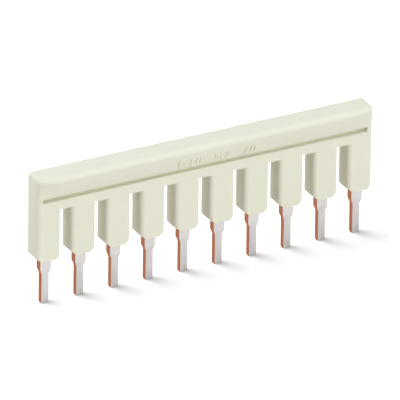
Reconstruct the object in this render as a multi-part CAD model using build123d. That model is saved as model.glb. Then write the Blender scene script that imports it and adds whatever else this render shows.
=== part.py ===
from build123d import *
import os

# Push-in jumper bar for rail terminal blocks, ten poles in a row.
# It stands upright on its contact tips, the way it goes into the terminals.
# X runs along the bar, Y through it with the gripping bead towards -Y,
# and Z = 0 is the plane of the contact tips. All sizes are in millimetres.

# Row of poles
pole_count = 10
pole_pitch = 5.2

# Moulded housing: legs under a bar
body_thickness = 3.0
leg_width = 3.61
foot_level = 6.68
arch_level = 14.05
top_level = 19.26
front_edge_radius = 0.62
rear_edge_radius = 0.4
foot_chamfer_width = 0.85
foot_chamfer_height = 0.6

# Gripping bead along the top, the slope under it and the groove
bead_depth = 0.98
bead_height = 0.78
bead_edge_radius = 0.72
bead_corner_radius = 0.76
bead_end_run = 3.2
groove_level = 15.74
groove_height = 0.62
groove_depth = 0.8
groove_end_margin = 0.85

# Stamped and coined contact comb
strip_thickness = 1.16
bus_bottom_level = 15.2
bus_height = 2.4
blade_width = 1.58
neck_top_level = 5.1
neck_bottom_level = 4.4
pin_width = 1.05
pin_thickness = 0.92
tip_chamfer = 0.16

# Clearance that the mould leaves round the comb
comb_clearance = 0.02

# Places that follow from the sizes above
first_pole = -(pole_count - 1) * pole_pitch / 2
pole_places = [first_pole + pole * pole_pitch for pole in range(pole_count)]
bar_length = (pole_count - 1) * pole_pitch + leg_width
front_face = -body_thickness / 2
bead_level = top_level - bead_height
groove_top = groove_level + groove_height / 2
bus_top_level = bus_bottom_level + bus_height


def round_rear(plan):
    """Round the two rear corners of a plan."""
    return fillet(plan.vertices().group_by(Axis.Y)[-1], rear_edge_radius)


def body_outline(length, level):
    """Plan of the body at one level, with its front and rear corners rounded."""
    plan = Pos(0, 0, level) * Rectangle(length, body_thickness)
    return round_rear(fillet(plan.vertices().group_by(Axis.Y)[0], front_edge_radius))


def leg(place):
    """One leg with rounded upright edges and a foot chamfered on both sides."""
    half_width = leg_width / 2
    outline = Polyline(
        (-half_width + foot_chamfer_width, foot_level),
        (half_width - foot_chamfer_width, foot_level),
        (half_width, foot_level + foot_chamfer_height),
        (half_width, arch_level),
        (-half_width, arch_level),
        (-half_width, foot_level + foot_chamfer_height),
        close=True,
    )
    front_view = extrude(Plane.XZ * make_face(outline), body_thickness, both=True)
    column = extrude(body_outline(leg_width, foot_level), arch_level - foot_level)
    return Pos(place, 0, 0) * (column & front_view)


def head_outline(depth, level, corner_radius):
    """Plan of the head at one level: the front swells by depth between curved ends."""
    end = bar_length / 2
    straight = end - bead_end_run
    rear = body_thickness / 2
    front = front_face - depth
    swell = [Line((-end, front_face), (-straight, front)), Line((straight, front), (end, front_face))]
    if depth > 0:
        swell = [
            TangentArc((-straight, front), (-end, front_face), tangent=(-1, 0)),
            TangentArc((straight, front), (end, front_face), tangent=(1, 0)),
        ]
    edges = [
        Line((-end, rear), (-end, front_face)),
        *swell,
        Line((-straight, front), (straight, front)),
        Line((end, front_face), (end, rear)),
        Line((end, rear), (-end, rear)),
    ]
    plan = make_face(Wire(edges))
    corners = [point for point in plan.vertices() if abs(point.X) > straight and point.Y < 0]
    return Pos(0, 0, level) * fillet(corners, corner_radius)


def bead():
    """The rounded gripping bead that runs along the top, proud of the front."""
    solid = extrude(head_outline(bead_depth, bead_level, bead_corner_radius), bead_height)
    solid = fillet(solid.faces().sort_by(Axis.Z)[-1].edges(), bead_edge_radius)
    rear_corners = solid.edges().filter_by(Axis.Z).group_by(Axis.Y)[-1]
    return fillet(rear_corners, rear_edge_radius)


def slope():
    """The stretch between groove and bead, where the front leans out to the bead."""
    low = head_outline(0, groove_top, front_edge_radius)
    high = head_outline(bead_depth, bead_level, bead_corner_radius)
    return loft([round_rear(low), round_rear(high)], ruled=True)


def housing_block():
    """Bar, slope, bead and legs before the groove and the comb's seat are cut."""
    block = extrude(body_outline(bar_length, arch_level), groove_top - arch_level)
    block += slope()
    block += bead()
    for place in pole_places:
        block += leg(place)
    return block


def comb(grow=0.0):
    """The contact comb, or with grow its seat in the housing."""
    bus_length = (pole_count - 1) * pole_pitch + blade_width
    front = Pos(0, (bus_bottom_level + bus_top_level) / 2) * Rectangle(
        bus_length + 2 * grow, bus_height + 2 * grow
    )
    half_blade = blade_width / 2 + grow
    half_pin = pin_width / 2 + grow
    for place in pole_places:
        blade = Polyline(
            (place - half_blade, bus_bottom_level),
            (place - half_blade, neck_top_level),
            (place - half_pin, neck_bottom_level),
            (place - half_pin, 0),
            (place + half_pin, 0),
            (place + half_pin, neck_bottom_level),
            (place + half_blade, neck_top_level),
            (place + half_blade, bus_bottom_level),
            close=True,
        )
        front += make_face(blade)
    half_strip = strip_thickness / 2 + grow
    half_coined = pin_thickness / 2
    side = Polyline(
        (-half_strip, bus_top_level + grow),
        (-half_strip, neck_top_level),
        (-half_coined, neck_bottom_level),
        (-half_coined, tip_chamfer),
        (-half_coined + tip_chamfer, 0),
        (half_coined - tip_chamfer, 0),
        (half_coined, tip_chamfer),
        (half_coined, neck_bottom_level),
        (half_strip, neck_top_level),
        (half_strip, bus_top_level + grow),
        close=True,
    )
    strip = extrude(Plane.XZ * front, strip_thickness, both=True)
    return strip & extrude(Plane.YZ * make_face(side), bus_length, both=True)


def housing():
    """The one-piece moulded housing."""
    groove = Pos(0, front_face, groove_level) * Box(
        bar_length - 2 * groove_end_margin, 2 * groove_depth, groove_height
    )
    return housing_block() - groove - comb(comb_clearance)


os.makedirs("parts", exist_ok=True)
export_step(housing(), "parts/insulating_housing.step")
export_step(comb(), "parts/contact_comb.step")
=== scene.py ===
import bpy
import bmesh
import math
from mathutils import Matrix, Vector


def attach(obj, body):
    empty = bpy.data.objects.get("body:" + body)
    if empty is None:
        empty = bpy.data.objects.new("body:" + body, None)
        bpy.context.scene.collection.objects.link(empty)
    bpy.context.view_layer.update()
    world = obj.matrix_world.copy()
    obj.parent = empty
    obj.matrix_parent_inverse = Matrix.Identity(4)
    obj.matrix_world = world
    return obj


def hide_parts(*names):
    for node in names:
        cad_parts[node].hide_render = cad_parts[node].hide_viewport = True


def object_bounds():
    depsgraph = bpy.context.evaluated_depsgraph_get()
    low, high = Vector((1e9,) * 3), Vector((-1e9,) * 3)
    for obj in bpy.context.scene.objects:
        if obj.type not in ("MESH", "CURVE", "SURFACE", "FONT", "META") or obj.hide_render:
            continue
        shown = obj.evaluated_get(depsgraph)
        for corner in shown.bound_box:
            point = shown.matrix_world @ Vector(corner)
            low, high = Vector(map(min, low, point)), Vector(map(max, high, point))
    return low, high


# Push-in jumper bar for rail terminal blocks: moulded housing over a stamped contact comb.
# Lengths are in metres; X runs along the bar, -Y is its front, Z = 0 is the plane of the tips.
MM = 0.001

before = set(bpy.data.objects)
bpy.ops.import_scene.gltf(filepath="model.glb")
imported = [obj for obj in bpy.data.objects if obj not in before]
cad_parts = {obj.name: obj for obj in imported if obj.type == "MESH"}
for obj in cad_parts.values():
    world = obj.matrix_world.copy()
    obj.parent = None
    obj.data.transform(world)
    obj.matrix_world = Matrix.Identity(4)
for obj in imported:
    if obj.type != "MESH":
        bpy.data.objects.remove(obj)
cad_low, cad_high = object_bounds()
scene = bpy.context.scene

# Camera: the photograph's viewing direction and scale, from 2.2 m away
CAMERA_TURN = math.radians(28.046)
CAMERA_RISE = math.radians(26.765)
CAMERA_ROLL = math.radians(-0.806)
CAMERA_DISTANCE = 2200 * MM
CAMERA_CLIP_END = 100.0
PIXELS_PER_MM = 7.491
AIM_RIGHT = -0.037 * MM
AIM_UP = 8.858 * MM
PICTURE_PIXELS = 400
SENSOR_WIDTH = 36.0

# Plastic of the housing: linear colour, clouding and fine grain; scales are per metre
PLASTIC_COLOUR = (0.81, 0.80, 0.65)
PLASTIC_SPREAD = 0.015
PLASTIC_ROUGHNESS = (0.5, 0.62)
PLASTIC_IOR = 1.5
PLASTIC_SPECULAR = 0.35
CLOUD_SCALE = 260.0
CLOUD_DETAIL = 4.0
GRAIN_SCALE = 9000.0
GRAIN_STRENGTH = 0.12
GRAIN_DEPTH = 0.004 * MM

# Metals of the comb: linear colours, streaks and patches; a small stretch draws streaks out along its axis
TIN_COLOUR = (0.622, 0.604, 0.597)
TIN_STRETCH = (1, 1, 0.06)
TIN_ROUGHNESS = (0.34, 0.5)
COPPER_COLOUR = (0.348, 0.172, 0.114)
COPPER_STRETCH = (1, 0.12, 1)
COPPER_ROUGHNESS = (0.38, 0.52)
COPPER_EDGE_TINT = (0.85, 0.42, 0.28, 1)
METAL_SPREAD = 0.14
STREAK_SCALE = 3000.0
STREAK_STRENGTH = 0.15
STREAK_DEPTH = 0.006 * MM
PATCH_SCALE = 700.0
FINE_DETAIL = 3.0

# A face of the comb is a cut side where its normal has less than this share of front or back
CUT_FACING = 0.5

# Clean-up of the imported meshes, and the rounding that breaks their edges
MERGE_DISTANCE = 0.0001 * MM
FLAT_ANGLE = math.radians(0.5)
LEVEL_TOLERANCE = 0.01 * MM
ROUNDING_SEGMENTS = 3
HOUSING_ROUNDING = 0.05 * MM
HOUSING_CORNER = math.radians(30)
HOUSING_CREASE = math.radians(19)
LIP_ROUNDING = 0.2 * MM
COMB_ROUNDING = 0.02 * MM
COMB_CORNER = math.radians(15)
COMB_CREASE = math.radians(5)

# Levels and depths of the housing that the source gives
ARCH_LEVEL = 14.05 * MM
GROOVE_BOTTOM = 15.43 * MM
GROOVE_TOP = 16.05 * MM
BEAD_LEVEL = 18.48 * MM
FRONT_FACE = -1.5 * MM
BEAD_DEPTH = 0.98 * MM

# Numbers moulded in low relief on the leaning band, each with its left end along the bar
NUMBERS = (("1-10", -4.6 * MM), ("5.2", 1.0 * MM), ("10", 5.4 * MM))
NUMBER_HEIGHT = 1.25 * MM
NUMBER_SPACING = 1.2
FONT_CAP_SHARE = 0.7
RELIEF_BASE = 0.42 * MM
RELIEF_DEPTH = 0.11 * MM
RELIEF_EDGE = 0.02 * MM
RELIEF_BOLDNESS = 0.04 * MM

# Studio light: square soft lamps, each with its direction, power at LAMP_DISTANCE, reach and colour
WHITE = (1, 1, 1)
COOL = (0.985, 1.03, 1.2)
LAMP_WIDTH = 0.3
LAMP_DISTANCE = 0.5
LAMPS = (
    ("lamp_top", (0, 0, 2.5), 1.015, 2, COOL),
    ("lamp_front_high", (0, -1.6, 2.2), 0.67, 1, WHITE),
    ("lamp_front_low", (0.2, -2.5, 0.3), 1.24, 3, WHITE),
    ("lamp_front_right_low", (2, -2, 0.3), 0.7, 3, WHITE),
    ("lamp_left_low", (-2.2, 1.0, 0.25), 0.6, 0.2, WHITE),
    ("lamp_left", (-2.5, -0.5, 0.4), 0.4, 1, WHITE),
    ("lamp_back_left", (-1.5, 2.25, 3), 0.41, 1, WHITE),
    ("lamp_back", (0, 2.5, 1.5), 0.64, 1, WHITE),
    ("lamp_right", (2.5, 0, 1), 0.16, 2, WHITE),
)

# Floor: its colour where it is seen, the light it throws back, its glow and the lamp that lights it alone
FLOOR_HALF = 6.0
FLOOR_COLOUR = (0.8, 0.8, 0.8)
FLOOR_BOUNCE = (0.52, 0.52, 0.55)
FLOOR_GLOW = 0.31
FLOOR_LAMP = (-1.5, 1.27, 4.19)
FLOOR_LAMP_WATTS = 3.8
FLOOR_LAMP_REACH = 12
FLOOR_LAMP_WIDENING = 1.2

# Places of the colours among the inputs and outputs of a Mix node
MIX_FIRST = 6
MIX_SECOND = 7
MIX_RESULT = 2


def make_camera():
    """The camera looks the way the photograph's did: from the left of the front, and down."""
    sin_turn, cos_turn = math.sin(CAMERA_TURN), math.cos(CAMERA_TURN)
    sin_rise, cos_rise = math.sin(CAMERA_RISE), math.cos(CAMERA_RISE)
    back = Vector((-sin_turn * cos_rise, -cos_turn * cos_rise, sin_rise))
    level = Vector((cos_turn, -sin_turn, 0))
    up = back.cross(level)
    right = level * math.cos(CAMERA_ROLL) - up * math.sin(CAMERA_ROLL)
    top = level * math.sin(CAMERA_ROLL) + up * math.cos(CAMERA_ROLL)
    place = level * AIM_RIGHT + up * AIM_UP + back * CAMERA_DISTANCE
    lens = bpy.data.cameras.new("camera")
    lens.sensor_width = SENSOR_WIDTH
    lens.lens = SENSOR_WIDTH * PIXELS_PER_MM / MM * CAMERA_DISTANCE / PICTURE_PIXELS
    lens.clip_end = CAMERA_CLIP_END
    camera = bpy.data.objects.new("camera", lens)
    scene.collection.objects.link(camera)
    camera.matrix_world = Matrix((
        (right.x, top.x, back.x, place.x),
        (right.y, top.y, back.y, place.y),
        (right.z, top.z, back.z, place.z),
        (0, 0, 0, 1),
    ))
    scene.camera = camera


def new_material(name):
    """A new node material, with its node tree and its shader."""
    material = bpy.data.materials.new(name)
    material.use_nodes = True
    tree = material.node_tree
    return material, tree, tree.nodes["Principled BSDF"]


def add_node(tree, kind, links=(), values=(), **settings):
    """Add a node with its settings; links and values are keyed by the input they go to."""
    node = tree.nodes.new(kind)
    for name, setting in settings.items():
        setattr(node, name, setting)
    for socket, value in dict(values).items():
        node.inputs[socket].default_value = value
    for socket, source in dict(links).items():
        tree.links.new(source, node.inputs[socket])
    return node


def noise(tree, place, scale, detail):
    """The factor output of a noise texture."""
    texture = add_node(tree, "ShaderNodeTexNoise", {"Vector": place}, {"Scale": scale, "Detail": detail})
    return texture.outputs[0]


def calculated(tree, operation, first, second):
    """The result of a Math node on two outputs."""
    return add_node(tree, "ShaderNodeMath", {0: first, 1: second}, operation=operation).outputs[0]


def multiplied(tree, source, factor):
    """An output times a plain number."""
    return add_node(tree, "ShaderNodeMath", {0: source}, {1: factor}, operation="MULTIPLY").outputs[0]


def colour_between(tree, factor, first, second):
    """A mix of two colours by a factor."""
    colours = {MIX_FIRST: (*first, 1), MIX_SECOND: (*second, 1)}
    return add_node(tree, "ShaderNodeMix", {0: factor}, colours, data_type="RGBA").outputs[MIX_RESULT]


def tint(tree, shader, factor, colour, spread):
    """Give the shader a colour that varies by spread to both sides, by a factor."""
    darker = tuple(channel * (1 - spread) for channel in colour)
    lighter = tuple(channel * (1 + spread) for channel in colour)
    tree.links.new(colour_between(tree, factor, darker, lighter), shader.inputs["Base Color"])


def roughen(tree, shader, factor, span):
    """Give the shader a roughness between the two ends of a span, by a factor."""
    ends = {"To Min": span[0], "To Max": span[1]}
    rough = add_node(tree, "ShaderNodeMapRange", {"Value": factor}, ends)
    tree.links.new(rough.outputs[0], shader.inputs["Roughness"])


def dent(tree, shader, height, strength, depth):
    """Give the shader a slightly uneven skin."""
    bump = add_node(tree, "ShaderNodeBump", {"Height": height}, {"Strength": strength, "Distance": depth})
    tree.links.new(bump.outputs[0], shader.inputs["Normal"])


def plastic_material():
    """Warm light-grey moulded polyamide: faint clouding and a fine eroded texture."""
    material, tree, shader = new_material("housing_plastic")
    place = add_node(tree, "ShaderNodeTexCoord").outputs["Object"]
    clouds = noise(tree, place, CLOUD_SCALE, CLOUD_DETAIL)
    tint(tree, shader, clouds, PLASTIC_COLOUR, PLASTIC_SPREAD)
    grain = noise(tree, place, GRAIN_SCALE, FINE_DETAIL)
    roughen(tree, shader, grain, PLASTIC_ROUGHNESS)
    dent(tree, shader, grain, GRAIN_STRENGTH, GRAIN_DEPTH)
    shader.inputs["IOR"].default_value = PLASTIC_IOR
    shader.inputs["Specular IOR Level"].default_value = PLASTIC_SPECULAR
    return material


def metal_material(name, colour, stretch, roughness):
    """Worked metal: fine drawn-out streaks, cloudy patches and a slightly uneven skin."""
    material, tree, shader = new_material(name)
    place = add_node(tree, "ShaderNodeTexCoord").outputs["Object"]
    drawn_out = add_node(tree, "ShaderNodeMapping", {"Vector": place}, {"Scale": stretch})
    streaks = noise(tree, drawn_out.outputs[0], STREAK_SCALE, FINE_DETAIL)
    patches = noise(tree, place, PATCH_SCALE, FINE_DETAIL)
    mean = multiplied(tree, calculated(tree, "ADD", streaks, patches), 0.5)
    tint(tree, shader, mean, colour, METAL_SPREAD)
    roughen(tree, shader, streaks, roughness)
    dent(tree, shader, streaks, STREAK_STRENGTH, STREAK_DEPTH)
    shader.inputs["Metallic"].default_value = 1.0
    return material


def tin_material():
    """Dull tin plating on the rolled faces of the strip."""
    return metal_material("tin_plating", TIN_COLOUR, TIN_STRETCH, TIN_ROUGHNESS)


def copper_material():
    """Bare copper on the sheared sides."""
    material = metal_material("bare_copper", COPPER_COLOUR, COPPER_STRETCH, COPPER_ROUGHNESS)
    shader = material.node_tree.nodes["Principled BSDF"]
    shader.inputs["Specular Tint"].default_value = COPPER_EDGE_TINT
    return material


def at_level(edge, level):
    """Whether both ends of an edge lie at a level."""
    return all(abs(vert.co.z - level) < LEVEL_TOLERANCE for vert in edge.verts)


def at_arch(edge):
    """Whether an edge bounds the ceiling between two legs; such an edge stays sharp."""
    return at_level(edge, ARCH_LEVEL)


def is_sheared(face):
    """Whether a face of the comb looks along the bar, up or down, where the strip was cut."""
    return abs(face.normal.y) < CUT_FACING


def between_sheared(edge):
    """Whether an edge of the comb lies between two cut faces; such an edge stays sharp."""
    return all(is_sheared(face) for face in edge.link_faces)


def softened(node, name, rounding, corner, crease, stays_sharp, materials, extras=()):
    """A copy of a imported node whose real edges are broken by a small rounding, to stand for it."""
    form = bmesh.new()
    form.from_mesh(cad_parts[node].data)
    bmesh.ops.remove_doubles(form, verts=form.verts, dist=MERGE_DISTANCE)
    bmesh.ops.dissolve_limit(form, angle_limit=FLAT_ANGLE, verts=form.verts, edges=form.edges)
    weight = form.edges.layers.float.new("bevel_weight_edge")
    for edge in form.edges:
        if edge.is_manifold and edge.calc_face_angle_signed() > corner and not stays_sharp(edge):
            edge[weight] = 1.0 if at_level(edge, GROOVE_BOTTOM) else rounding / LIP_ROUNDING
    for extra in extras:
        form.from_mesh(extra)
    bmesh.ops.remove_doubles(form, verts=form.verts, dist=MERGE_DISTANCE)
    for face in form.faces:
        face.smooth = True
        face.material_index = 1 if len(materials) == 2 and is_sheared(face) else 0
    mesh = bpy.data.meshes.new(name)
    form.to_mesh(mesh)
    form.free()
    mesh.set_sharp_from_angle(angle=crease)
    for material in materials:
        mesh.materials.append(material)
    piece = bpy.data.objects.new(name, mesh)
    scene.collection.objects.link(piece)
    bevel = piece.modifiers.new("broken_edges", "BEVEL")
    bevel.limit_method = "WEIGHT"
    bevel.width = LIP_ROUNDING
    bevel.segments = ROUNDING_SEGMENTS
    bevel.use_clamp_overlap = False
    bevel.material = 0
    bevel.harden_normals = True
    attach(piece, "root")
    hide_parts(node)
    return piece


def relief(words, start):
    """Plain numbers in low relief on the leaning band, as a mesh; start is the left end along the bar."""
    curve = bpy.data.curves.new("numbers", "FONT")
    curve.body = words
    curve.size = NUMBER_HEIGHT / FONT_CAP_SHARE
    curve.space_character = NUMBER_SPACING
    curve.extrude = RELIEF_DEPTH
    curve.bevel_depth = RELIEF_EDGE
    curve.bevel_resolution = 1
    curve.offset = RELIEF_BOLDNESS
    holder = bpy.data.objects.new("numbers", curve)
    mesh = bpy.data.meshes.new_from_object(holder)
    bpy.data.objects.remove(holder)
    lean = math.atan2(BEAD_DEPTH, BEAD_LEVEL - GROOVE_TOP)
    along = RELIEF_BASE / math.cos(lean)
    foot = Vector((start, FRONT_FACE - along * math.sin(lean), GROOVE_TOP + along * math.cos(lean)))
    mesh.transform(Matrix.Translation(foot) @ Matrix.Rotation(math.pi / 2 + lean, 4, "X"))
    return mesh


def background_share(tree):
    """One for rays that see the background itself: camera, glossy and transmission rays."""
    path = add_node(tree, "ShaderNodeLightPath")
    seen = calculated(tree, "MAXIMUM", path.outputs["Is Camera Ray"], path.outputs["Is Glossy Ray"])
    return calculated(tree, "MAXIMUM", seen, path.outputs["Is Transmission Ray"])


def make_room():
    """The room round the scene: white where it is seen or mirrored, and dark for all other rays."""
    room = bpy.data.worlds.new("room")
    scene.world = room
    room.use_nodes = True
    tree = room.node_tree
    shader = tree.nodes["Background"]
    shader.inputs["Color"].default_value = (*WHITE, 1)
    tree.links.new(background_share(tree), shader.inputs["Strength"])


def make_floor():
    """A wide pale floor that keeps the object's shadow."""
    half = FLOOR_HALF
    mesh = bpy.data.meshes.new("floor")
    corners = [(-half, -half, 0), (half, -half, 0), (half, half, 0), (-half, half, 0)]
    mesh.from_pydata(corners, [], [(0, 1, 2, 3)])
    floor = bpy.data.objects.new("floor", mesh)
    scene.collection.objects.link(floor)
    material, tree, shader = new_material("floor")
    seen = background_share(tree)
    shade = colour_between(tree, seen, FLOOR_BOUNCE, FLOOR_COLOUR)
    tree.links.new(shade, shader.inputs["Base Color"])
    tree.links.new(multiplied(tree, seen, FLOOR_GLOW), shader.inputs["Emission Strength"])
    shader.inputs["Emission Color"].default_value = (*WHITE, 1)
    shader.inputs["Roughness"].default_value = 1.0
    shader.inputs["Specular IOR Level"].default_value = 0.0
    mesh.materials.append(material)
    return floor


def make_lamp(name, direction, watts, reach, colour):
    """A square soft lamp aimed at the middle of the bar; reach moves it out at the same light and angle."""
    aim = (cad_low + cad_high) / 2
    away = Vector(direction).normalized()
    lamp = bpy.data.lights.new(name, "AREA")
    lamp.size = LAMP_WIDTH * reach
    lamp.energy = watts * reach ** 2
    lamp.color = colour
    holder = bpy.data.objects.new(name, lamp)
    holder.location = aim + away * LAMP_DISTANCE * reach
    holder.rotation_mode = "QUATERNION"
    holder.rotation_quaternion = (-away).to_track_quat("-Z", "Y")
    holder.visible_camera = False
    holder.visible_glossy = False
    scene.collection.objects.link(holder)
    return holder


def group_of(name, thing):
    """A collection of one object, for light linking."""
    group = bpy.data.collections.new(name)
    group.objects.link(thing)
    return group


scene.view_settings.view_transform = "Standard"
make_camera()
make_room()
softened(
    "insulating_housing", "moulded_housing", HOUSING_ROUNDING, HOUSING_CORNER, HOUSING_CREASE,
    at_arch, [plastic_material()], [relief(words, start) for words, start in NUMBERS],
)
comb = softened(
    "contact_comb", "stamped_comb", COMB_ROUNDING, COMB_CORNER, COMB_CREASE,
    between_sheared, [tin_material(), copper_material()],
)

# The lamps of the object leave the floor out, and only the comb shadows the floor's own lamp
floor = make_floor()
all_but_floor = group_of("all_but_floor", floor)
all_but_floor.collection_objects[0].light_linking.link_state = "EXCLUDE"
for lamp_row in LAMPS:
    make_lamp(*lamp_row).light_linking.receiver_collection = all_but_floor
floor_lamp = make_lamp("lamp_floor", FLOOR_LAMP, FLOOR_LAMP_WATTS, FLOOR_LAMP_REACH, WHITE)
floor_lamp.data.size *= FLOOR_LAMP_WIDENING
floor_lamp.light_linking.receiver_collection = group_of("floor_alone", floor)
floor_lamp.light_linking.blocker_collection = group_of("comb_alone", comb)
